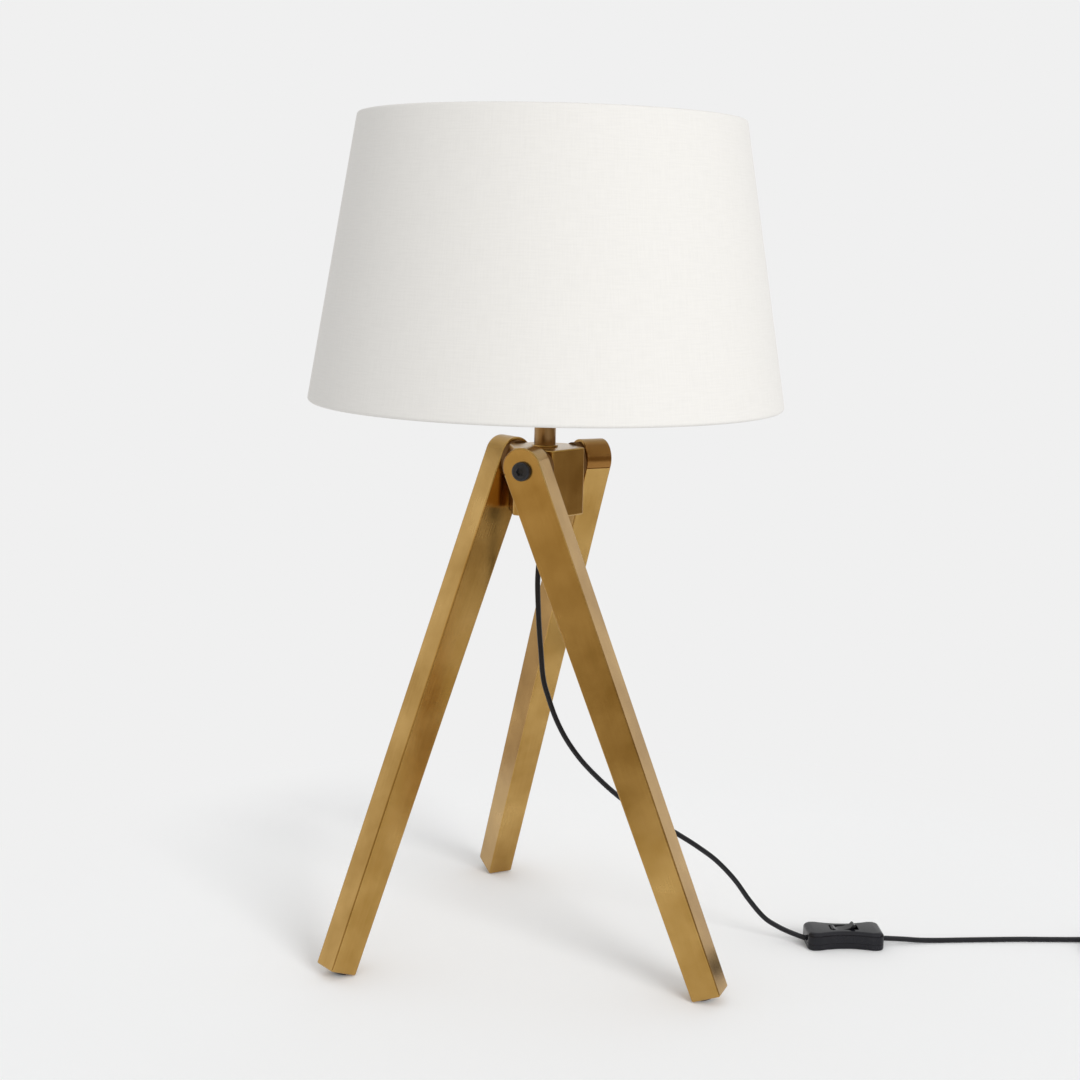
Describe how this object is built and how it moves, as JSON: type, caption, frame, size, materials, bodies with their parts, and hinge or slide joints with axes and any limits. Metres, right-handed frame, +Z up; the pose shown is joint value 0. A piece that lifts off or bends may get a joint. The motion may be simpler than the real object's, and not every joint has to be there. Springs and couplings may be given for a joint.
{
  "type": "tripod table lamp",
  "caption": "Table lamp with a conical fabric shade on a short stem and a hexagonal brass hub, standing on hinged tapered legs, with a flex, hand switch and plug.",
  "frame": {"origin": "on the floor under the stem, at the middle of the shade's outline", "axes": "+Z up the stem, -Y towards the viewer of the picture, +X towards the side where the flex leaves"},
  "size_m": [0.7084, 0.349, 0.6279],
  "materials": {
    "antique_brass": "brushed, antiqued",
    "bright_brass": "satin",
    "plated_steel": "satin",
    "black_steel": "satin",
    "black_nylon": "matte",
    "pad_rubber": "matte",
    "holder_plastic": "satin",
    "porcelain": "glazed",
    "white_wire": "satin",
    "shade_lining": "matte",
    "shade_fabric": "fine weave",
    "black_flex": "satin",
    "switch_plastic": "satin",
    "rocker_plastic": "gloss"
  },
  "bodies": {
    "lamp": {"hub_block": "antique_brass", "threaded_pipe": "bright_brass", "pipe_nut": "plated_steel", "cord_gland": "black_nylon", "pipe_flex": "black_flex", "stem_collar": "bright_brass", "stem_tube": "antique_brass", "pivot_bolts": "black_steel", "friction_washers": "black_nylon", "holder_cap": "holder_plastic", "holder_sleeve": "holder_plastic", "holder_core": "porcelain", "screw_shell": "bright_brass", "centre_contact": "bright_brass", "terminal_screws": "plated_steel", "shade_ring": "holder_plastic", "shade_carrier": "white_wire", "shade_top_wire": "white_wire", "shade_lining": "shade_lining", "shade_fabric": "shade_fabric", "cord_lead": "black_flex", "switch_base": "switch_plastic", "switch_cover": "switch_plastic", "switch_contacts": "bright_brass", "switch_screws": "plated_steel", "cord_tail": "black_flex", "cord_coil": "black_flex", "coil_tie": "black_nylon", "cord_end": "black_flex", "plug_body": "switch_plastic", "plug_pins": "plated_steel", "plug_sleeves": "black_nylon"},
    "front_leg": {"leg_front": "antique_brass", "foot_pad_front": "pad_rubber"},
    "rear_leg": {"leg_rear": "antique_brass", "foot_pad_rear": "pad_rubber"},
    "left_leg": {"leg_left": "antique_brass", "foot_pad_left": "pad_rubber"},
    "rocker": {"switch_rocker": "rocker_plastic"}
  },
  "joints": [
    {"name": "front_leg_hinge", "type": "hinge", "parent": "lamp", "child": "front_leg", "pos_m": [-0.01194, -0.03864, 0.37772], "axis": [-0.3746, -0.9272, 0], "range_deg": [-22.2, 10]},
    {"name": "rear_leg_hinge", "type": "hinge", "parent": "lamp", "child": "rear_leg", "pos_m": [0.03436, 0.02133, 0.37772], "axis": [0.891, 0.454, 0], "range_deg": [-22.2, 10]},
    {"name": "left_leg_hinge", "type": "hinge", "parent": "lamp", "child": "left_leg", "pos_m": [-0.02826, 0.02893, 0.37772], "axis": [-0.6361, 0.7716, 0], "range_deg": [-22.2, 10]},
    {"name": "switch_rock", "type": "hinge", "parent": "lamp", "child": "rocker", "pos_m": [0.244, 0.0116, 0.01], "axis": [-0.0523, 0.9986, 0], "range_deg": [0, 20]}
  ]
}
